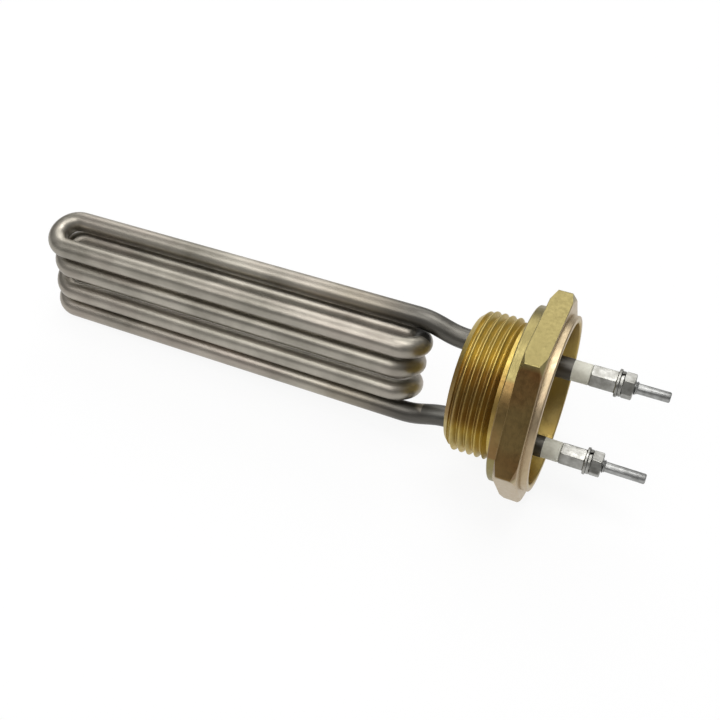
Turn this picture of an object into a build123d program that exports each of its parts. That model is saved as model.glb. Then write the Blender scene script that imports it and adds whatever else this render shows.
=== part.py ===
from build123d import *
from math import cos, hypot, radians, sin, sqrt, tan
import os

# Screw-in heating element of a dishwasher, in millimetres.
# The origin is the centre of the sealing face, on the axis of the thread. +X runs along that axis
# out of the tank, towards the terminals, and +Z is up.

# Brass head, from the tip of the thread to the rim round the terminals
thread_diameter = 41.91
thread_length = 15.0
thread_lead_in = 2.3
collar_diameter = 52.0
collar_thickness = 3.0
hex_across_flats = 55.0
hex_thickness = 6.5
hex_chamfer = 2.2
rim_diameter = 51.5
rim_height = 2.0
rim_wall = 2.0
rim_edge = 0.4
recess_depth = 7.0
recess_corner = 1.0

# Bent element: eight legs in two columns, which swap sides at each bend
sheath_diameter = 6.3
sheath_wall = 0.7
column_spacing = 11.0
leg_heights = [14.4, 11.3, 7.2, 3.2, -1.8, -6.7, -10.6, -14.4]
bend_tips = [-156.5, -29.4, -155.9, -31.1, -157.9, -31.8, -159.2]
element_drop = 1.5

# The element's two ends in the head, on a slanted line through its middle
end_spacing = 24.9
end_line_angle = 65.0
end_joggle_start = -20.0
end_joggle_stop = -29.5
joggle_radius = 20.0
upper_end_x = 13.7
lower_end_x = 11.2
bore_clearance = 0.05
braze_leg = 1.5
braze_hollow_radius = 1.8

# Inside the sheath
cold_pin_diameter = 2.5
cold_pin_inner_x = -12.0
seal_length = 5.0

# Terminal pins and what is threaded on them, from the tube's mouth outwards
pin_diameter = 3.0
pin_tip_x = 40.5
pin_tip_chamfer = 0.4
stud_diameter = 4.0
stud_overhang = 1.0
stud_chamfer = 0.4
bead_diameter = 6.0
bead_length = 5.2
bead_spigot_length = 1.5
bead_edge = 0.6
pin_clearance = 0.05
long_nut_across_flats = 6.0
long_nut_length = 7.0
long_nut_turn = 15.0
washer_diameter = 8.0
washer_thickness = 0.8
spring_washer_diameter = 7.2
spring_washer_thickness = 1.0
spring_washer_gap = 1.0
nut_across_flats = 6.6
nut_thickness = 3.0
nut_chamfer = 0.5
corner_cone_angle = 30.0

# Worked out from the dimensions above
thread_radius = thread_diameter / 2
sheath_radius = sheath_diameter / 2
sheath_bore_radius = sheath_radius - sheath_wall
cold_pin_radius = cold_pin_diameter / 2
pin_radius = pin_diameter / 2
stud_radius = stud_diameter / 2
washer_bore_radius = stud_radius + pin_clearance
hex_front_x = collar_thickness + hex_thickness
rim_x = hex_front_x + rim_height
recess_floor_x = rim_x - recess_depth

end_y = end_spacing / 2 * cos(radians(end_line_angle))
end_z = end_spacing / 2 * sin(radians(end_line_angle))
upper_end = (end_y, end_z - element_drop)
lower_end = (-end_y, -end_z - element_drop)
ends = {"upper": (upper_end, upper_end_x), "lower": (lower_end, lower_end_x)}

legs = []
for number, height in enumerate(leg_heights):
    side = 1 if number % 2 == 0 else -1
    legs.append((side * column_spacing / 2, height - element_drop))

os.makedirs("parts", exist_ok=True)


def add_element_line(upper_x, lower_x):
    """Draw the element's centre line from the upper end, through every leg and bend, to the lower."""
    bend_centres = []
    for number, tip in enumerate(bend_tips):
        (y1, z1), (y2, z2) = legs[number], legs[number + 1]
        bend_radius = hypot(y2 - y1, z2 - z1) / 2
        bend_centres.append(tip + bend_radius if number % 2 == 0 else tip - bend_radius)

    FilletPolyline(
        (upper_x, *upper_end),
        (end_joggle_start, *upper_end),
        (end_joggle_stop, *legs[0]),
        (bend_centres[0], *legs[0]),
        radius=joggle_radius,
    )
    for number, (centre, tip) in enumerate(zip(bend_centres, bend_tips)):
        (y1, z1), (y2, z2) = legs[number], legs[number + 1]
        ThreePointArc((centre, y1, z1), (tip, (y1 + y2) / 2, (z1 + z2) / 2), (centre, y2, z2))
        if number + 1 < len(bend_tips):
            Line((centre, y2, z2), (bend_centres[number + 1], y2, z2))
    FilletPolyline(
        (bend_centres[-1], *legs[-1]),
        (end_joggle_stop, *legs[-1]),
        (end_joggle_start, *lower_end),
        (lower_x, *lower_end),
        radius=joggle_radius,
    )


def across_x(position, x):
    """The plane across the X axis at x, centred on a (y, z) position, with Y and Z as its axes."""
    return Plane(origin=(x, *position), x_dir=(0, 1, 0), z_dir=(1, 0, 0))


def turn_down_corners(position, start_x, stop_x, across_flats, chamfer_width):
    """Turn the corners of the hexagon being built down to a shallow cone at both of its ends."""
    corner_radius = across_flats / sqrt(3)
    drop = chamfer_width * tan(radians(corner_cone_angle))
    with BuildSketch(Plane(origin=(0, *position), x_dir=(1, 0, 0), z_dir=(0, 0, 1))) as half_section:
        with BuildLine():
            Polyline(
                (start_x, 0),
                (start_x, corner_radius - chamfer_width),
                (start_x + drop, corner_radius),
                (stop_x - drop, corner_radius),
                (stop_x, corner_radius - chamfer_width),
                (stop_x, 0),
                close=True,
            )
        make_face()
    revolve(half_section.sketch, axis=Axis((0, *position), (1, 0, 0)), mode=Mode.INTERSECT)


def finish(part, name):
    """Label a finished sub-part and write it to its file."""
    part.label = name
    export_step(part, f"parts/{name}.step")


# Brass head. The hexagon comes first, so that its corners can be turned down to a cone on both faces.
with BuildPart() as brass_head:
    with BuildSketch(Plane.YZ.offset(collar_thickness)):
        RegularPolygon(hex_across_flats / 2, 6, major_radius=False)
    extrude(amount=hex_thickness)
    turn_down_corners((0, 0), collar_thickness, hex_front_x, hex_across_flats, hex_chamfer)

    # Thread, sealing collar and rim, turned on the same axis
    with BuildSketch(Plane.XY):
        with BuildLine():
            Polyline(
                (-thread_length, 0),
                (-thread_length, thread_radius - thread_lead_in),
                (-thread_length + thread_lead_in, thread_radius),
                (0, thread_radius),
                (0, collar_diameter / 2),
                (collar_thickness, collar_diameter / 2),
                (collar_thickness, rim_diameter / 2),
                (rim_x - rim_edge, rim_diameter / 2),
                (rim_x, rim_diameter / 2 - rim_edge),
                (rim_x, 0),
                close=True,
            )
        make_face()
    revolve(axis=Axis.X)

    # Terminal recess, open towards +X. Its floor, now the largest flat face, gets a rounded corner.
    with BuildSketch(Plane.YZ.offset(rim_x)):
        Circle(rim_diameter / 2 - rim_wall)
    extrude(amount=-recess_depth, mode=Mode.SUBTRACT)
    recess_floor = brass_head.faces().filter_by(Axis.X).sort_by(SortBy.AREA)[-1]
    fillet(recess_floor.edges(), recess_corner)

    # One bore right through for each end of the element
    for end_position, _ in ends.values():
        with BuildSketch(across_x(end_position, recess_floor_x)):
            Circle(sheath_radius + bore_clearance)
        extrude(amount=-(recess_floor_x + thread_length), mode=Mode.SUBTRACT)
finish(brass_head.part, "brass_head")


# Sheath: one thin-walled tube along the whole centre line
with BuildPart() as sheath_tube:
    with BuildLine() as sheath_line:
        add_element_line(upper_end_x, lower_end_x)
    with BuildSketch(Plane(origin=sheath_line.line @ 0, z_dir=sheath_line.line % 0)):
        Circle(sheath_radius)
        Circle(sheath_bore_radius, mode=Mode.SUBTRACT)
    sweep()
finish(sheath_tube.part, "sheath_tube")


# Magnesia, pressed round the coil and the cold pins, from one end seal to the other
with BuildPart() as magnesia_fill:
    fill_recess = bead_spigot_length + seal_length
    with BuildLine() as fill_line:
        add_element_line(upper_end_x - fill_recess, lower_end_x - fill_recess)
    with BuildSketch(Plane(origin=fill_line.line @ 0, z_dir=fill_line.line % 0)):
        Circle(sheath_bore_radius)
        Circle(cold_pin_radius, mode=Mode.SUBTRACT)
    sweep()
finish(magnesia_fill.part, "magnesia_fill")


# Resistance coil, as the round envelope of its fine wound wire, between the two cold pins
with BuildPart() as resistance_coil:
    with BuildLine() as coil_line:
        add_element_line(cold_pin_inner_x, cold_pin_inner_x)
    with BuildSketch(Plane(origin=coil_line.line @ 0, z_dir=coil_line.line % 0)):
        Circle(cold_pin_radius)
    sweep()
finish(resistance_coil.part, "resistance_coil")


# Each end of the element: seal, bead, pin and the hardware on the pin
for end_name, (end_position, end_x) in ends.items():
    spigot_x = end_x - bead_spigot_length
    seal_x = spigot_x - seal_length
    bead_x = end_x + bead_length
    washer_x = bead_x + long_nut_length
    spring_washer_x = washer_x + washer_thickness
    nut_x = spring_washer_x + spring_washer_thickness
    stud_end_x = nut_x + nut_thickness + stud_overhang

    # Resin seal, poured behind the bead
    with BuildPart() as end_seal:
        with BuildSketch(across_x(end_position, seal_x)):
            Circle(sheath_bore_radius)
            Circle(cold_pin_radius, mode=Mode.SUBTRACT)
        extrude(amount=seal_length)
    finish(end_seal.part, f"end_seal_{end_name}")

    # Ceramic bead, with a spigot that centres it in the tube's mouth
    with BuildPart() as ceramic_bead:
        with BuildSketch(across_x(end_position, end_x)):
            Circle(bead_diameter / 2)
        extrude(amount=bead_length)
        fillet(ceramic_bead.edges().group_by(Axis.X)[-1], bead_edge)
        with BuildSketch(across_x(end_position, spigot_x)):
            Circle(sheath_bore_radius)
        extrude(amount=bead_spigot_length)
        with BuildSketch(across_x(end_position, spigot_x)):
            Circle(pin_radius + pin_clearance)
        extrude(amount=bead_spigot_length + bead_length, mode=Mode.SUBTRACT)
    finish(ceramic_bead.part, f"ceramic_bead_{end_name}")

    # Terminal pin: a cold pin in the magnesia, a plain pin through the bead and out to the tip, and
    # between them a thicker stud, on which the thread is rolled
    with BuildPart() as terminal_pin:
        with BuildSketch(across_x(end_position, cold_pin_inner_x)):
            Circle(cold_pin_radius)
        extrude(amount=spigot_x - cold_pin_inner_x)
        with BuildSketch(across_x(end_position, bead_x)):
            Circle(stud_radius)
        extrude(amount=stud_end_x - bead_x)
        chamfer(terminal_pin.edges().group_by(Axis.X)[-1], stud_chamfer)
        with BuildSketch(across_x(end_position, spigot_x)):
            Circle(pin_radius)
        extrude(amount=pin_tip_x - spigot_x)
        chamfer(terminal_pin.edges().group_by(Axis.X)[-1], pin_tip_chamfer)
    finish(terminal_pin.part, f"terminal_pin_{end_name}")

    # Long hexagon nut, drawn up against the bead
    with BuildPart() as long_nut:
        with BuildSketch(across_x(end_position, bead_x)):
            RegularPolygon(long_nut_across_flats / 2, 6, major_radius=False, rotation=long_nut_turn)
        extrude(amount=long_nut_length)
        turn_down_corners(end_position, bead_x, washer_x, long_nut_across_flats, nut_chamfer)
        with BuildSketch(across_x(end_position, bead_x)):
            Circle(stud_radius)
        extrude(amount=long_nut_length, mode=Mode.SUBTRACT)
    finish(long_nut.part, f"long_nut_{end_name}")

    # Flat washer
    with BuildPart() as flat_washer:
        with BuildSketch(across_x(end_position, washer_x)):
            Circle(washer_diameter / 2)
            Circle(washer_bore_radius, mode=Mode.SUBTRACT)
        extrude(amount=washer_thickness)
    finish(flat_washer.part, f"flat_washer_{end_name}")

    # Spring washer, pressed flat, with its split upwards
    with BuildPart() as spring_washer:
        with BuildSketch(across_x(end_position, spring_washer_x)):
            Circle(spring_washer_diameter / 2)
            Circle(washer_bore_radius, mode=Mode.SUBTRACT)
            with Locations((0, spring_washer_diameter / 2)):
                Rectangle(spring_washer_gap, spring_washer_diameter, mode=Mode.SUBTRACT)
        extrude(amount=spring_washer_thickness)
    finish(spring_washer.part, f"spring_washer_{end_name}")

    # Terminal nut, which clamps the supply lead's tag on the stud
    with BuildPart() as terminal_nut:
        with BuildSketch(across_x(end_position, nut_x)):
            RegularPolygon(nut_across_flats / 2, 6, major_radius=False)
        extrude(amount=nut_thickness)
        turn_down_corners(end_position, nut_x, nut_x + nut_thickness, nut_across_flats, nut_chamfer)
        with BuildSketch(across_x(end_position, nut_x)):
            Circle(stud_radius)
        extrude(amount=nut_thickness, mode=Mode.SUBTRACT)
    finish(terminal_nut.part, f"terminal_nut_{end_name}")

    # Hollow braze fillets round the tube, on the wet end face and on the recess floor
    for side_name, face_x, outward in (("wet", -thread_length, -1), ("dry", recess_floor_x, 1)):
        with BuildPart() as braze_fillet:
            foot = (face_x, sheath_radius + braze_leg)
            root = (face_x, sheath_radius)
            crest = (face_x + outward * braze_leg, sheath_radius)
            with BuildSketch(Plane(origin=(0, *end_position), x_dir=(1, 0, 0), z_dir=(0, 0, 1))):
                with BuildLine():
                    Line(foot, root)
                    Line(root, crest)
                    RadiusArc(crest, foot, outward * braze_hollow_radius)
                make_face()
            revolve(axis=Axis((0, *end_position), (1, 0, 0)))
        finish(braze_fillet.part, f"braze_{side_name}_{end_name}")
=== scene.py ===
import math

import bpy
from mathutils import Matrix, Vector


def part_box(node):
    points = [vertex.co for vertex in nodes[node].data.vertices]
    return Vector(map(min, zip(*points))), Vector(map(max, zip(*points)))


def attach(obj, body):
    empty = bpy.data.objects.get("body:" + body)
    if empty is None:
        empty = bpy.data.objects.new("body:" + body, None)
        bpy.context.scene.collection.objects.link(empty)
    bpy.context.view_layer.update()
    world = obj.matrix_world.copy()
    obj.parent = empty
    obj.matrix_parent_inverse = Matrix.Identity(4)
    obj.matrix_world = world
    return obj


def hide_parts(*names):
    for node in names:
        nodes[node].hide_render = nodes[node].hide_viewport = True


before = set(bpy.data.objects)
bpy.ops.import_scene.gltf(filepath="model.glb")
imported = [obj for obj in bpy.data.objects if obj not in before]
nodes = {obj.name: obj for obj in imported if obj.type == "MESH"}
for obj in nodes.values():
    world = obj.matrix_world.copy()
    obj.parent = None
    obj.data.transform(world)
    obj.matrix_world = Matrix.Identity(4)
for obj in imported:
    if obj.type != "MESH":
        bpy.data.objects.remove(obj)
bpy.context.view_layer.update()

# Table, light and camera. The heater lies on a white table, on the lower flat of its hexagon and
# on its lowest far bend, so the table leans a little in the heater's own frame.

head_low, head_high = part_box("brass_head")
tube_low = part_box("sheath_tube")[0]
collar_thickness = 0.003
far_bend_radius = 0.0059
table_lean = (tube_low.z - head_low.z) / (collar_thickness - tube_low.x - far_bend_radius)
table_half = 3.0
table_grey = 0.86
white_near = 0.9
white_far = 1.0
white_fade = (0.4, 1.0)
sky_light = 0.22
sky_seen = 1.0
lamp_aim = (-0.06, 0, 0)

bpy.ops.object.select_all(action="DESELECT")
bpy.ops.mesh.primitive_plane_add(size=2 * table_half, location=(0, 0, 0))
table = bpy.context.object
table.name = "table"
bpy.ops.object.transform_apply(location=True, rotation=True, scale=True)
for corner in table.data.vertices:
    corner.co.z = head_low.z + table_lean * (collar_thickness - corner.co.x)


def new_material(name):
    """A node material with no nodes in it yet."""
    material = bpy.data.materials.new(name)
    material.use_nodes = True
    material.node_tree.nodes.clear()
    return material


def add_node(material, kind, **settings):
    """One node. A setting is a property of the node, or else the value of the input of that name."""
    node = material.node_tree.nodes.new("ShaderNode" + kind)
    for key, value in settings.items():
        if hasattr(node, key):
            setattr(node, key, value)
        else:
            node.inputs[key.replace("_", " ")].default_value = value
    return node


def link(material, source, target):
    """Join one node's output to another's input."""
    material.node_tree.links.new(source, target)


def add_place(material, scale=(1, 1, 1), shift=(0, 0, 0)):
    """The place on the piece, in metres, stretched by a scale for the pattern that reads it."""
    place = add_node(material, "TexCoord")
    mapping = add_node(material, "Mapping", Scale=scale, Location=shift)
    link(material, place.outputs["Object"], mapping.inputs["Vector"])
    return mapping.outputs[0]


def add_length(material, vector):
    """How long a vector is."""
    length = add_node(material, "VectorMath", operation="LENGTH")
    link(material, vector, length.inputs[0])
    return length.outputs["Value"]


def add_range(material, value, low, high, to_low=0.0, to_high=1.0, smooth=False):
    """Map a value that runs from low to high to one that runs from to_low to to_high."""
    mapped = add_node(material, "MapRange", interpolation_type="SMOOTHSTEP" if smooth else "LINEAR")
    for name, number in (("From Min", low), ("From Max", high), ("To Min", to_low), ("To Max", to_high)):
        mapped.inputs[name].default_value = number
    link(material, value, mapped.inputs["Value"])
    return mapped.outputs["Result"]


def add_math(material, operation, first, second=0.0):
    """Arithmetic on one or two values, each a plain number or another node's output."""
    node = add_node(material, "Math", operation=operation)
    for socket, value in zip(node.inputs, (first, second)):
        if isinstance(value, (int, float)):
            socket.default_value = value
        else:
            link(material, value, socket)
    return node.outputs[0]


def add_product(material, first, *others):
    """Shares multiplied together, which is how much there is where all of them hold."""
    for other in others:
        first = add_math(material, "MULTIPLY", first, other)
    return first


# The table lights the heater as pale paper does. To the camera and in reflections it is nearly plain
# white, and wholly so far away, so that it has no horizon and still takes a shadow.
table_white = new_material("table_white")
paper = add_node(table_white, "BsdfDiffuse", Color=(table_grey, table_grey, table_grey, 1))
glow = add_node(table_white, "Emission", Color=(1, 1, 1, 1), Strength=1.0)
ray = add_node(table_white, "LightPath")
seen = add_math(table_white, "MAXIMUM", ray.outputs["Is Camera Ray"], ray.outputs["Is Glossy Ray"])
distance = add_length(table_white, add_place(table_white))
white_share = add_range(table_white, distance, *white_fade, to_low=white_near, to_high=white_far)
mix = add_node(table_white, "MixShader")
link(table_white, add_product(table_white, seen, white_share), mix.inputs[0])
link(table_white, paper.outputs[0], mix.inputs[1])
link(table_white, glow.outputs[0], mix.inputs[2])
link(table_white, mix.outputs[0], add_node(table_white, "OutputMaterial").inputs["Surface"])
table.data.materials.append(table_white)

world = bpy.data.worlds.new("studio")
bpy.context.scene.world = world
world.use_nodes = True
world.node_tree.nodes.clear()
ray = add_node(world, "LightPath")
sky = add_node(world, "Background", Color=(1, 1, 1, 1))
sky_level = add_range(world, ray.outputs["Is Camera Ray"], 0, 1, to_low=sky_light, to_high=sky_seen)
link(world, sky_level, sky.inputs["Strength"])
link(world, sky.outputs[0], add_node(world, "OutputWorld").inputs["Surface"])


def add_softbox(name, place, size, watts):
    """A rectangular area lamp at a place, turned to face the loops."""
    bpy.ops.object.light_add(type="AREA", location=place)
    lamp = bpy.context.object
    lamp.name = name
    lamp.data.shape = "RECTANGLE"
    lamp.data.size, lamp.data.size_y = size
    lamp.data.energy = watts
    lamp.rotation_euler = (Vector(lamp_aim) - Vector(place)).to_track_quat("-Z", "Y").to_euler()


add_softbox("softbox_behind", place=(-0.4, 0.9, 0.85), size=(1.2, 0.7), watts=7)
add_softbox("softbox_above", place=(0.1, 0.1, 1.2), size=(0.7, 0.7), watts=8)
add_softbox("softbox_front", place=(-0.3, -0.7, 1.1), size=(0.9, 0.6), watts=7)

camera_azimuth = 25.07
camera_elevation = 43.76
camera_roll = -0.95
camera_place = (0.0385, -0.1871, 0.1919)
focal_pixels = 935.35
picture_pixels = 720
nearest_seen = 0.01
bpy.ops.object.camera_add()
camera = bpy.context.object
camera.data.sensor_width = 36.0
camera.data.lens = camera.data.sensor_width * focal_pixels / picture_pixels
camera.data.clip_start = nearest_seen
camera.matrix_world = (
    Matrix.Translation(camera_place)
    @ Matrix.Rotation(math.radians(camera_azimuth), 4, "Z")
    @ Matrix.Rotation(math.radians(90 - camera_elevation), 4, "X")
    @ Matrix.Rotation(math.radians(camera_roll), 4, "Z")
)
bpy.context.scene.camera = camera
bpy.context.scene.view_settings.view_transform = "Standard"

# Sheath: one drawn stainless steel tube, bent cold into eight legs. Drawing leaves fine lines
# along it, and brazing leaves the two legs in the head dark with heat tint.

steel_pale = (0.45, 0.42, 0.36)
steel_dull = (0.27, 0.25, 0.21)
steel_tint = (0.075, 0.075, 0.07)
steel_straw = (0.26, 0.21, 0.15)
steel_blush = (0.36, 0.28, 0.25)
line_stretch = (14, 900, 900)
blush_stretch = (0.35, 1, 1)
blush_shift = (0.2, 0, 0.4)

# A pair says where a finish begins and where it is full. A span is of the noise, which runs from
# nought to one, and the others are places in metres.
noise_span = (0.3, 0.7)
dull_span = (0.35, 0.7)
blush_span = (0.5, 0.7)
outer_legs = (0.0104, 0.0108)
tint_fade = (-0.056, -0.030)
straw_fade = (-0.075, -0.04)
past_near_bends = (-0.0263, -0.0259)

ends_height = -0.0015
tint_most = 0.85
straw_most = 0.5
blush_most = 0.35


def add_metal(material, roughness=0.3):
    """A metal shader, already joined to the material's output."""
    shader = add_node(material, "BsdfPrincipled", Metallic=1.0, Roughness=roughness)
    link(material, shader.outputs[0], add_node(material, "OutputMaterial").inputs["Surface"])
    return shader


def add_noise(material, vector, scale, detail=3.0):
    """Cloudy noise from nought to one. The scale is how many clouds there are to a metre."""
    noise = add_node(material, "TexNoise", Scale=scale, Detail=detail, Roughness=0.55)
    link(material, vector, noise.inputs["Vector"])
    return noise.outputs["Fac"]


def add_blend(material, share, first, second):
    """Blend two colours by a share. Each colour is three numbers or another node's output."""
    node = add_node(material, "MixRGB")
    link(material, share, node.inputs[0])
    for socket, colour in zip(node.inputs[1:], (first, second)):
        if isinstance(colour, tuple):
            socket.default_value = (*colour, 1)
        else:
            link(material, colour, socket)
    return node.outputs[0]


def add_bump(material, shader, height, strength, distance):
    """Fine relief on the skin. The distance is how high it stands, in metres."""
    bump = add_node(material, "Bump", Strength=strength, Distance=distance)
    link(material, height, bump.inputs["Height"])
    link(material, bump.outputs[0], shader.inputs["Normal"])


def dress(name, material):
    """Give a node of the frame its finish."""
    nodes[name].data.materials.clear()
    nodes[name].data.materials.append(material)


drawn_steel = new_material("drawn_steel")
shader = add_metal(drawn_steel)
where = add_node(drawn_steel, "SeparateXYZ")
link(drawn_steel, add_place(drawn_steel), where.inputs[0])
along, across, up = where.outputs

cloud = add_noise(drawn_steel, add_place(drawn_steel), scale=70, detail=4)
colour = add_blend(drawn_steel, add_range(drawn_steel, cloud, *dull_span), steel_pale, steel_dull)

side = add_math(drawn_steel, "SIGN", across)
height = add_math(drawn_steel, "SUBTRACT", up, ends_height)
outer_leg = add_range(drawn_steel, add_product(drawn_steel, side, height), *outer_legs)
straw = add_range(drawn_steel, along, *straw_fade, smooth=True)
straw = add_product(drawn_steel, outer_leg, straw, straw_most)
colour = add_blend(drawn_steel, straw, colour, steel_straw)

blush_place = add_place(drawn_steel, scale=blush_stretch, shift=blush_shift)
blush = add_noise(drawn_steel, blush_place, scale=60, detail=2)
blush = add_range(drawn_steel, blush, *blush_span, to_high=blush_most)
colour = add_blend(drawn_steel, blush, colour, steel_blush)

tint = add_product(drawn_steel, outer_leg, add_range(drawn_steel, along, *tint_fade, smooth=True))
tint = add_math(drawn_steel, "MAXIMUM", tint, add_range(drawn_steel, along, *past_near_bends))
colour = add_blend(drawn_steel, add_product(drawn_steel, tint, tint_most), colour, steel_tint)
link(drawn_steel, colour, shader.inputs["Base Color"])

lines = add_noise(drawn_steel, add_place(drawn_steel, scale=line_stretch), scale=1, detail=4)
rough = add_range(drawn_steel, lines, *noise_span, to_low=0.36, to_high=0.50)
link(drawn_steel, rough, shader.inputs["Roughness"])
add_bump(drawn_steel, shader, lines, strength=0.25, distance=0.0002)
dress("sheath_tube", drawn_steel)

# Brass head: forged and turned from one piece, with a hexagon, a pipe thread, a relief groove beside
# the collar, and a deep recess for the terminals. Both ends of the tube are brazed in it.

head_sides = 192
bore_sides = 64
thread_steps = 64
sliver = 0.000002
tool_overrun = 0.002
tip_x = head_low.x
rim_end = head_high.x
inch = 0.0254
threads_per_inch = 11
depth_for_pitch = 0.640327
thread_radius = 0.020955
thread_pitch = inch / threads_per_inch
thread_depth = depth_for_pitch * thread_pitch
thread_flank = math.radians(27.5)
lead_in = 0.0023
relief_gap = 0.0001
relief_radius = thread_radius - thread_depth - relief_gap
relief_width = 0.0022
relief_slope = 0.0012
relief_corner = 0.0002
collar_radius = 0.026
collar_edge = 0.0003
collar_hidden = 0.0005
hexagon_flat = 0.0275
hexagon_width = 0.0065
hexagon_front = collar_thickness + hexagon_width
hexagon_chamfer = 0.0022
hexagon_edge = 0.00025
hexagon_bore = 0.0245
rim_taper = 0.001
rim_start = collar_thickness + rim_taper
rim_radius = 0.02575
rim_wall = 0.002
rim_round = 0.0004
recess_depth = 0.007
recess_floor = rim_end - recess_depth
recess_radius = rim_radius - rim_wall
recess_round = 0.001
bore_radius = 0.0032
bore_end = 0.008


def add_turned(name, outline, sides):
    """Turn a body about the X axis, ring by ring along an outline of (x, radius) points. The first
    ring is closed with a fan, and so is the last, where the outline ends at a radius of nought."""
    bpy.ops.object.select_all(action="DESELECT")
    first_x, first_radius = outline[0]
    bpy.ops.mesh.primitive_circle_add(
        vertices=sides, radius=first_radius, location=(first_x, 0, 0), rotation=(0, math.pi / 2, 0)
    )
    body = bpy.context.object
    body.name = name
    bpy.ops.object.transform_apply(location=True, rotation=True, scale=True)
    bpy.ops.object.mode_set(mode="EDIT")
    bpy.ops.mesh.select_all(action="SELECT")
    bpy.ops.mesh.extrude_region()
    bpy.ops.mesh.merge(type="CENTER")
    bpy.ops.mesh.select_all(action="DESELECT")
    bpy.ops.object.mode_set(mode="OBJECT")
    for vertex in body.data.vertices:
        vertex.select = math.hypot(vertex.co.y, vertex.co.z) > first_radius / 2
    for edge in body.data.edges:
        edge.select = all(body.data.vertices[v].select for v in edge.vertices)
    bpy.ops.object.mode_set(mode="EDIT")
    bpy.ops.mesh.select_mode(type="EDGE")
    x, radius = first_x, first_radius
    for next_x, next_radius in outline[1:]:
        bpy.ops.mesh.extrude_edges_move(TRANSFORM_OT_translate={"value": (next_x - x, 0, 0)})
        if next_radius > 0:
            scale = next_radius / radius
            bpy.ops.transform.resize(value=(1, scale, scale), center_override=(next_x, 0, 0))
        else:
            bpy.ops.mesh.merge(type="CENTER")
        x, radius = next_x, next_radius
    bpy.ops.mesh.select_all(action="SELECT")
    bpy.ops.mesh.remove_doubles(threshold=1e-7)
    bpy.ops.mesh.normals_make_consistent(inside=False)
    bpy.ops.object.mode_set(mode="OBJECT")
    return body


def arc_points(centre, radius, start, stop, steps):
    """Points of (x, radius) along an arc, for a turned outline. Angles are in degrees from +X."""
    points = []
    for step in range(steps + 1):
        angle = math.radians(start + (stop - start) * step / steps)
        points.append((centre[0] + radius * math.cos(angle), centre[1] + radius * math.sin(angle)))
    return points


def cut(body, tool, operation="DIFFERENCE"):
    """Cut, join or keep what is common with another closed mesh, which is used up."""
    boolean = body.modifiers.new("cut", "BOOLEAN")
    boolean.object = tool
    boolean.operation = operation
    boolean.solver = "EXACT"
    bpy.context.view_layer.objects.active = body
    bpy.ops.object.modifier_apply(modifier=boolean.name)
    bpy.data.objects.remove(tool)


def add_hexagon(name, start, stop, flat, chamfer, edge, sides, turn=0.0):
    """A hexagon along X, with flats facing up and down when not turned. Its edges are broken, and its
    corners are turned down to a shallow cone at both ends."""
    half_face = math.radians(30)
    cone_slope = math.radians(30)
    corner = flat / math.cos(half_face)
    bpy.ops.object.select_all(action="DESELECT")
    bpy.ops.mesh.primitive_cylinder_add(
        vertices=6, radius=corner, depth=stop - start, end_fill_type="NGON", rotation=(0, math.pi / 2, 0)
    )
    prism = bpy.context.object
    prism.name = name
    bpy.ops.object.transform_apply(location=True, rotation=True, scale=True)
    prism.data.transform(Matrix.Rotation(math.radians(turn), 4, "X"))
    prism.data.transform(Matrix.Translation(((start + stop) / 2, 0, 0)))
    bevel = prism.modifiers.new("broken_edge", "BEVEL")
    bevel.width = edge
    bevel.segments = 3
    bevel.limit_method = "ANGLE"
    bpy.ops.object.modifier_apply(modifier=bevel.name)
    beyond = chamfer / 4
    drop = (chamfer + beyond) * math.tan(cone_slope)
    cone_outline = [
        (start, corner - chamfer),
        (start + drop, corner + beyond),
        (stop - drop, corner + beyond),
        (stop, corner - chamfer),
        (stop, 0),
    ]
    cut(prism, add_turned("corner_cone", cone_outline, sides), "INTERSECT")
    return prism


def add_thread_tool(name, radius, pitch, depth, flank, start, stop, steps):
    """The helical groove that a screw-cutting tool leaves, as a closed body. Its sides flare out at
    the crest and round off at the root, so what stands between two grooves has rounded crests."""
    root = radius - depth
    crest = pitch / 6
    half_root = pitch / 2 - depth * math.tan(flank) - crest / 2
    proud = radius * 0.02
    # The outline runs from past the crest, round the crest's corner, down the flank, and round the root.
    outline = [
        (-(pitch - crest * 0.3) / 2, radius + proud),
        (-(pitch - crest * 0.45) / 2, radius),
        (-(pitch - crest * 1.2) / 2, radius - crest * 0.28),
        (-half_root - crest * 0.15, root + crest * 0.5),
        (-half_root * 0.55, root + crest * 0.08),
        (0, root),
    ]
    outline += [(-x, r) for x, r in reversed(outline[:-1])]
    bpy.ops.object.select_all(action="DESELECT")
    bpy.ops.mesh.primitive_circle_add(vertices=len(outline), radius=radius, location=(0, 0, 0))
    tool = bpy.context.object
    tool.name = name
    for vertex, (x, r) in zip(tool.data.vertices, outline):
        vertex.co = (start + x, 0, r)
    bpy.ops.object.mode_set(mode="EDIT")
    bpy.ops.mesh.select_all(action="SELECT")
    bpy.ops.mesh.edge_face_add()
    turns = math.ceil((stop - start) / pitch)
    for step in range(turns * steps):
        bpy.ops.mesh.extrude_region()
        bpy.ops.transform.translate(value=(pitch / steps, 0, 0))
        bpy.ops.transform.rotate(
            value=2 * math.pi / steps, orient_axis="X", center_override=(0, 0, 0)
        )
    bpy.ops.mesh.select_all(action="SELECT")
    bpy.ops.mesh.normals_make_consistent(inside=False)
    bpy.ops.object.mode_set(mode="OBJECT")
    return tool


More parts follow.
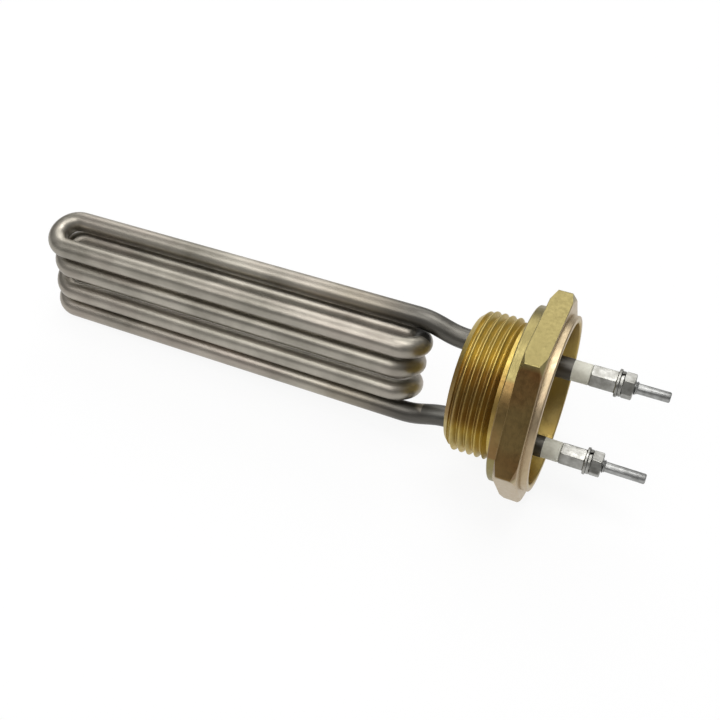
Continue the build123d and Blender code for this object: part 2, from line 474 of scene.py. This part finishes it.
def smooth(body, angle):
    """Merge the slivers that the cuts left, and shade all but the edges sharper than an angle smoothly."""
    bpy.ops.object.select_all(action="DESELECT")
    body.select_set(True)
    bpy.context.view_layer.objects.active = body
    bpy.ops.object.mode_set(mode="EDIT")
    bpy.ops.mesh.select_all(action="SELECT")
    bpy.ops.mesh.remove_doubles(threshold=sliver)
    bpy.ops.mesh.dissolve_degenerate(threshold=sliver)
    bpy.ops.object.mode_set(mode="OBJECT")
    bpy.ops.object.shade_smooth_by_angle(angle=math.radians(angle))


def move_to_axis(piece, node):
    """Move a piece made on the X axis to the axis of a node of the frame."""
    low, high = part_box(node)
    piece.data.transform(Matrix.Translation((0, (low.y + high.y) / 2, (low.z + high.z) / 2)))


def stand_for(piece, node, material):
    """Finish a piece, and let it stand for its node."""
    piece.data.materials.clear()
    piece.data.materials.append(material)
    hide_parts(node)
    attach(piece, "root")


head_outline = (
    [(tip_x, thread_radius - lead_in), (tip_x + lead_in, thread_radius)]
    + [(-relief_width - relief_slope, thread_radius), (-relief_width, relief_radius)]
    + [(-relief_corner, relief_radius), (0, relief_radius + relief_corner)]
    + [(0, collar_radius - collar_edge), (collar_edge, collar_radius)]
    + [(collar_thickness + collar_hidden, collar_radius), (rim_start, rim_radius)]
    + arc_points((rim_end - rim_round, rim_radius - rim_round), rim_round, 90, 0, 4)
    + arc_points((rim_end - rim_round, recess_radius + rim_round), rim_round, 0, -90, 4)
    + [(recess_floor + recess_round, recess_radius)]
    + arc_points((recess_floor + recess_round, recess_radius - recess_round), recess_round, 90, 180, 5)[1:]
    + [(recess_floor, 0)]
)
bore_outline = [(tip_x - tool_overrun, bore_radius), (bore_end, bore_radius), (bore_end, 0)]
hexagon_bore_outline = [
    (collar_thickness - tool_overrun, hexagon_bore), (rim_end, hexagon_bore), (rim_end, 0)
]

brass_head = add_turned("threaded_head", head_outline, head_sides)
for end_name in ("upper", "lower"):
    bore = add_turned("bore_tool", bore_outline, bore_sides)
    move_to_axis(bore, f"braze_wet_{end_name}")
    cut(brass_head, bore)
hexagon = add_hexagon(
    "hexagon", collar_thickness, hexagon_front, hexagon_flat, hexagon_chamfer, hexagon_edge, head_sides
)
cut(hexagon, add_turned("hexagon_bore_tool", hexagon_bore_outline, head_sides))
cut(brass_head, hexagon, "UNION")
thread_tool = add_thread_tool(
    "thread_tool", thread_radius, thread_pitch, thread_depth, thread_flank,
    tip_x - thread_pitch, -relief_width, thread_steps,
)
cut(brass_head, thread_tool)
smooth(brass_head, angle=30)

# Its finish: gold where it was turned, with olive clouds, and duller on the hexagon's forged faces. A
# painted reflection makes its front and its lower faces pale, and painted shade browns a band of the
# thread and one face. The wall of the recess is browned, and a faint tarnish lies all over.

brass_gold = (0.58, 0.44, 0.12)
brass_olive = (0.45, 0.36, 0.13)
brass_forged = (0.26, 0.222, 0.09)
brass_reflection = (0.52, 0.41, 0.27)
brass_brown = (0.19, 0.085, 0.028)
patch_span = (0.35, 0.65)
forged_skin = (0.0242, 0.0248)
pale_skin = (0.0242, 0.0246)
pale_most = 0.8
past_collar = (collar_radius + 0.0001, collar_radius + 0.0005)
past_hexagon_front = (hexagon_front - 0.0003, hexagon_front)
lower_faces = (0, -0.002)
shade_band_top = (0.0195, 0.015)
shade_band_foot = (-0.001, 0.005)
shade_band_front = (-0.005, -0.012)
shade_band_end = (collar_thickness, collar_thickness - 0.0005)
shade_face_front = (-0.0158, -0.0168)
shade_face_foot = (-0.001, 0)
recess_wall_start = (0.005, 0.0065)
recess_wall_reach = 0.0004
recess_wall_most = 0.55
tarnish_least = 0.1
brown_patch_shift = (0.3, 0.1, 0.7)
thread_end = (-0.001, 0)
thread_rough = 0.06
grain_relief = 0.6

turned_brass = new_material("turned_brass")
shader = add_metal(turned_brass)
where = add_node(turned_brass, "SeparateXYZ")
link(turned_brass, add_place(turned_brass), where.inputs[0])
along, across, up = where.outputs
out = add_length(turned_brass, add_place(turned_brass, scale=(0, 1, 1)))

cloud = add_noise(turned_brass, add_place(turned_brass), scale=85, detail=4)
colour = add_blend(turned_brass, add_range(turned_brass, cloud, *patch_span), brass_gold, brass_olive)
forged = add_range(turned_brass, out, *forged_skin)
colour = add_blend(turned_brass, forged, colour, brass_forged)

# Painted shade: a brown band on the upper front of the thread, facing the camera side.
shade_band = add_product(
    turned_brass,
    add_range(turned_brass, up, *shade_band_top, smooth=True),
    add_range(turned_brass, up, *shade_band_foot, smooth=True),
    add_range(turned_brass, across, *shade_band_front),
    add_range(turned_brass, along, *shade_band_end),
)
# Painted shade: the hexagon's upper front face is browned.
shade_face = add_product(
    turned_brass,
    add_range(turned_brass, across, *shade_face_front),
    add_range(turned_brass, up, *shade_face_foot),
    forged,
)
recess_wall = add_math(turned_brass, "COMPARE", out, recess_radius)
recess_wall.node.inputs[2].default_value = recess_wall_reach
recess_wall = add_product(
    turned_brass, recess_wall, add_range(turned_brass, along, *recess_wall_start, to_high=recess_wall_most)
)
# The brown is a faint tarnish everywhere, with the painted shade of the band and the face and the browned
# recess wall.
tarnish_and_shade = tarnish_least
for share in (shade_band, shade_face, recess_wall):
    tarnish_and_shade = add_math(turned_brass, "MAXIMUM", share, tarnish_and_shade)
brown_patches = add_noise(turned_brass, add_place(turned_brass, shift=brown_patch_shift), scale=45)
brown_patches = add_range(turned_brass, brown_patches, *patch_span, to_low=0.5, to_high=0.95)
colour = add_blend(turned_brass, add_product(turned_brass, tarnish_and_shade, brown_patches), colour, brass_brown)

# Painted reflection: the hexagon's front face, the rim and the hexagon's lower faces are made pale, as if
# they caught the white table.
hexagonal = add_range(turned_brass, out, *past_collar)
lower = add_product(turned_brass, hexagonal, add_range(turned_brass, up, *lower_faces))
painted_reflection = add_math(turned_brass, "MAXIMUM", add_range(turned_brass, along, *past_hexagon_front), lower)
painted_reflection = add_product(turned_brass, painted_reflection, add_range(turned_brass, out, *pale_skin, to_high=pale_most))
colour = add_blend(turned_brass, painted_reflection, colour, brass_reflection)
link(turned_brass, colour, shader.inputs["Base Color"])

grain = add_noise(turned_brass, add_place(turned_brass), scale=900, detail=4)
rough = add_range(turned_brass, grain, *noise_span, to_low=0.32, to_high=0.48)
cut_thread = add_range(turned_brass, along, *thread_end, to_low=thread_rough, to_high=0)
link(turned_brass, add_math(turned_brass, "ADD", rough, cut_thread), shader.inputs["Roughness"])

ring_place = add_node(turned_brass, "CombineXYZ")
link(turned_brass, along, ring_place.inputs["X"])
link(turned_brass, out, ring_place.inputs["Y"])
rings = add_noise(turned_brass, ring_place.outputs[0], scale=2600, detail=2)
relief = add_math(turned_brass, "ADD", rings, add_product(turned_brass, grain, grain_relief))
add_bump(turned_brass, shader, relief, strength=0.22, distance=0.0001)
stand_for(brass_head, "brass_head", turned_brass)

# Braze: silver alloy, run round the tube where it enters and leaves the head. It wets both metals
# into a hollow fillet with a dull, slightly rippled skin.

braze_bright = (0.42, 0.38, 0.26)
braze_burnt = (0.16, 0.11, 0.07)
flux_span = (0.4, 0.65)

braze_skin = new_material("braze_skin")
shader = add_metal(braze_skin, roughness=0.38)
flux = add_noise(braze_skin, add_place(braze_skin), scale=260)
colour = add_blend(braze_skin, add_range(braze_skin, flux, *flux_span), braze_bright, braze_burnt)
link(braze_skin, colour, shader.inputs["Base Color"])
ripple = add_noise(braze_skin, add_place(braze_skin), scale=700)
add_bump(braze_skin, shader, ripple, strength=0.4, distance=0.0003)
for side_name in ("wet", "dry"):
    for end_name in ("upper", "lower"):
        dress(f"braze_{side_name}_{end_name}", braze_skin)

# Inside the sheath: wound resistance wire on the two cold pins, packed round with magnesia powder
# and closed at each mouth by a resin seal. None of it shows from outside.

powder_pale = (0.90, 0.89, 0.85)
powder_dark = (0.74, 0.73, 0.68)
wire_dark = (0.12, 0.11, 0.10)
wire_bright = (0.42, 0.40, 0.37)
turns_scale = 320
resin_dark = (0.42, 0.12, 0.07)
resin_pale = (0.55, 0.22, 0.13)


def add_matt(material, roughness):
    """A shader for what isn't metal, already joined to the material's output."""
    shader = add_node(material, "BsdfPrincipled", Roughness=roughness)
    link(material, shader.outputs[0], add_node(material, "OutputMaterial").inputs["Surface"])
    return shader


packed_powder = new_material("packed_powder")
shader = add_matt(packed_powder, roughness=0.95)
speck = add_noise(packed_powder, add_place(packed_powder), scale=1800, detail=4)
colour = add_blend(packed_powder, speck, powder_pale, powder_dark)
link(packed_powder, colour, shader.inputs["Base Color"])
add_bump(packed_powder, shader, speck, strength=0.4, distance=0.0001)
dress("magnesia_fill", packed_powder)

wound_wire = new_material("wound_wire")
shader = add_metal(wound_wire, roughness=0.45)
turns = add_node(
    wound_wire, "TexWave", wave_type="BANDS", bands_direction="X", Scale=turns_scale, Distortion=0.4
)
link(wound_wire, add_place(wound_wire), turns.inputs["Vector"])
colour = add_blend(wound_wire, turns.outputs["Fac"], wire_dark, wire_bright)
link(wound_wire, colour, shader.inputs["Base Color"])
add_bump(wound_wire, shader, turns.outputs["Fac"], strength=0.7, distance=0.0003)
dress("resistance_coil", wound_wire)

seal_resin = new_material("seal_resin")
shader = add_matt(seal_resin, roughness=0.5)
speck = add_noise(seal_resin, add_place(seal_resin), scale=900)
colour = add_blend(seal_resin, speck, resin_dark, resin_pale)
link(seal_resin, colour, shader.inputs["Base Color"])
for end_name in ("upper", "lower"):
    dress(f"end_seal_{end_name}", seal_resin)

# Ceramic beads: unglazed off-white steatite, pressed and fired, pushed into the tube's mouths. They
# keep the live pins off the sheath.

ceramic_pale = (0.74, 0.73, 0.64)
ceramic_grey = (0.60, 0.59, 0.50)
ceramic_soot = (0.36, 0.34, 0.27)
soot_span = (0.5, 0.75)
soot_most = 0.5

bead_ceramic = new_material("bead_ceramic")
shader = add_matt(bead_ceramic, roughness=0.62)
speck = add_noise(bead_ceramic, add_place(bead_ceramic), scale=1500, detail=4)
colour = add_blend(bead_ceramic, speck, ceramic_pale, ceramic_grey)
soot = add_noise(bead_ceramic, add_place(bead_ceramic), scale=240)
soot = add_range(bead_ceramic, soot, *soot_span, to_high=soot_most)
colour = add_blend(bead_ceramic, soot, colour, ceramic_soot)
link(bead_ceramic, colour, shader.inputs["Base Color"])
add_bump(bead_ceramic, shader, speck, strength=0.3, distance=0.0001)
for end_name in ("upper", "lower"):
    dress(f"ceramic_bead_{end_name}", bead_ceramic)

# Terminal pins: nickel-plated steel. A plain pin runs through the bead, a thicker stud beside it
# carries a rolled M4 thread for the nuts, and past the thread the pin ends plain.

stud_bright = (0.42, 0.42, 0.41)
stud_dull = (0.26, 0.26, 0.25)
stud_line_stretch = (60, 2400, 2400)
pin_sides = 48
pin_radius = 0.0015
cold_pin_radius = 0.00125
edge_break = 0.0004
stud_radius = 0.002
stud_pitch = 0.0007
stud_depth = 0.00038
stud_flank = math.radians(30)
stud_overhang = 0.001
stud_turns = 5
stud_steps = 32

stud_steel = new_material("stud_steel")
shader = add_metal(stud_steel)
dust = add_noise(stud_steel, add_place(stud_steel), scale=500, detail=4)
colour = add_blend(stud_steel, add_range(stud_steel, dust, *patch_span), stud_bright, stud_dull)
link(stud_steel, colour, shader.inputs["Base Color"])
drawn = add_noise(stud_steel, add_place(stud_steel, scale=stud_line_stretch), scale=1)
rough = add_range(stud_steel, drawn, *noise_span, to_low=0.34, to_high=0.5)
link(stud_steel, rough, shader.inputs["Roughness"])
add_bump(stud_steel, shader, drawn, strength=0.3, distance=0.0001)

for end_name in ("upper", "lower"):
    pin_low, pin_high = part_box(f"terminal_pin_{end_name}")
    seal_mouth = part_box(f"end_seal_{end_name}")[1].x
    stud_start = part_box(f"long_nut_{end_name}")[0].x
    stud_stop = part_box(f"terminal_nut_{end_name}")[1].x + stud_overhang
    pin_outline = [
        (pin_low.x, cold_pin_radius),
        (seal_mouth, cold_pin_radius),
        (seal_mouth, pin_radius),
        (stud_start, pin_radius),
        (stud_start, stud_radius),
        (stud_stop - edge_break, stud_radius),
        (stud_stop, stud_radius - edge_break),
        (stud_stop, pin_radius),
        (pin_high.x - edge_break, pin_radius),
        (pin_high.x - edge_break / 3, pin_radius - edge_break / 3),
        (pin_high.x, pin_radius - edge_break),
        (pin_high.x, 0),
    ]
    pin = add_turned(f"pin_and_stud_{end_name}", pin_outline, pin_sides)
    groove = add_thread_tool(
        "stud_thread_tool", stud_radius, stud_pitch, stud_depth, stud_flank,
        stud_stop - stud_turns * stud_pitch, stud_stop + stud_pitch, stud_steps,
    )
    cut(pin, groove)
    move_to_axis(pin, f"terminal_pin_{end_name}")
    smooth(pin, angle=35)
    stand_for(pin, f"terminal_pin_{end_name}", stud_steel)

# Terminal hardware: nickel-plated steel. On each stud a long hexagon nut is drawn up against the
# bead, then come a flat washer, a split spring washer pressed flat, and the nut that clamps the lead.

plating_bright = (0.40, 0.395, 0.37)
plating_dull = (0.23, 0.225, 0.205)
mark_stretch = (300, 1500, 1500)
nut_hole = 0.00202
nut_chamfer = 0.0005
nut_edge = 0.00012
long_nut_flat = 0.003
long_nut_turn = 15.0
long_nut_countersink = 0.0001
clamp_nut_flat = 0.0033
clamp_nut_countersink = 0.00015
washer_hole = 0.00206
washer_edge = 0.00015
flat_washer_radius = 0.004
spring_washer_radius = 0.0036
split_gap = 0.0008
split_middle = 0.003
split_reach = 0.004
split_slant = 25

plated_steel = new_material("plated_steel")
shader = add_metal(plated_steel)
dust = add_noise(plated_steel, add_place(plated_steel), scale=420, detail=4)
colour = add_blend(plated_steel, add_range(plated_steel, dust, *patch_span), plating_bright, plating_dull)
link(plated_steel, colour, shader.inputs["Base Color"])
marks = add_noise(plated_steel, add_place(plated_steel, scale=mark_stretch), scale=1)
rough = add_range(plated_steel, marks, *noise_span, to_low=0.32, to_high=0.5)
link(plated_steel, rough, shader.inputs["Roughness"])
add_bump(plated_steel, shader, marks, strength=0.25, distance=0.0001)


def add_hole(piece, start, stop, radius, countersink):
    """Drill a hole along X right through a piece, countersunk at both faces."""
    outline = [
        (start - countersink, radius + 2 * countersink),
        (start + countersink, radius),
        (stop - countersink, radius),
        (stop + countersink, radius + 2 * countersink),
        (stop + countersink, 0),
    ]
    cut(piece, add_turned("drill", outline, pin_sides))


def add_washer(name, start, stop, radius):
    """A round washer along X with broken edges and its hole."""
    outline = [
        (start, radius - washer_edge),
        (start + washer_edge, radius),
        (stop - washer_edge, radius),
        (stop, radius - washer_edge),
        (stop, 0),
    ]
    washer = add_turned(name, outline, pin_sides)
    add_hole(washer, start, stop, washer_hole, washer_edge / 3)
    return washer


def seat(piece, node, end_name):
    """Put a finished nut or washer on its stud."""
    move_to_axis(piece, f"terminal_pin_{end_name}")
    smooth(piece, angle=35)
    stand_for(piece, f"{node}_{end_name}", plated_steel)


for end_name in ("upper", "lower"):
    start, stop = (corner.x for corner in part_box(f"long_nut_{end_name}"))
    long_nut = add_hexagon(
        f"long_hexagon_{end_name}",
        start, stop, long_nut_flat, nut_chamfer, nut_edge, pin_sides, long_nut_turn,
    )
    add_hole(long_nut, start, stop, nut_hole, long_nut_countersink)
    seat(long_nut, "long_nut", end_name)

    start, stop = (corner.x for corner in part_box(f"flat_washer_{end_name}"))
    flat_washer = add_washer(f"round_washer_{end_name}", start, stop, flat_washer_radius)
    seat(flat_washer, "flat_washer", end_name)

    start, stop = (corner.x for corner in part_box(f"spring_washer_{end_name}"))
    spring_washer = add_washer(f"split_washer_{end_name}", start, stop, spring_washer_radius)
    bpy.ops.object.select_all(action="DESELECT")
    bpy.ops.mesh.primitive_cube_add(size=1, location=((start + stop) / 2, 0, split_middle))
    split = bpy.context.object
    split.scale = (3 * (stop - start), split_gap, split_reach)
    split.rotation_euler = (0, 0, math.radians(split_slant))
    bpy.ops.object.transform_apply(location=True, rotation=True, scale=True)
    cut(spring_washer, split)
    seat(spring_washer, "spring_washer", end_name)

    start, stop = (corner.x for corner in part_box(f"terminal_nut_{end_name}"))
    clamp_nut = add_hexagon(
        f"clamp_nut_{end_name}",
        start, stop, clamp_nut_flat, nut_chamfer, nut_edge, pin_sides,
    )
    add_hole(clamp_nut, start, stop, nut_hole, clamp_nut_countersink)
    seat(clamp_nut, "terminal_nut", end_name)
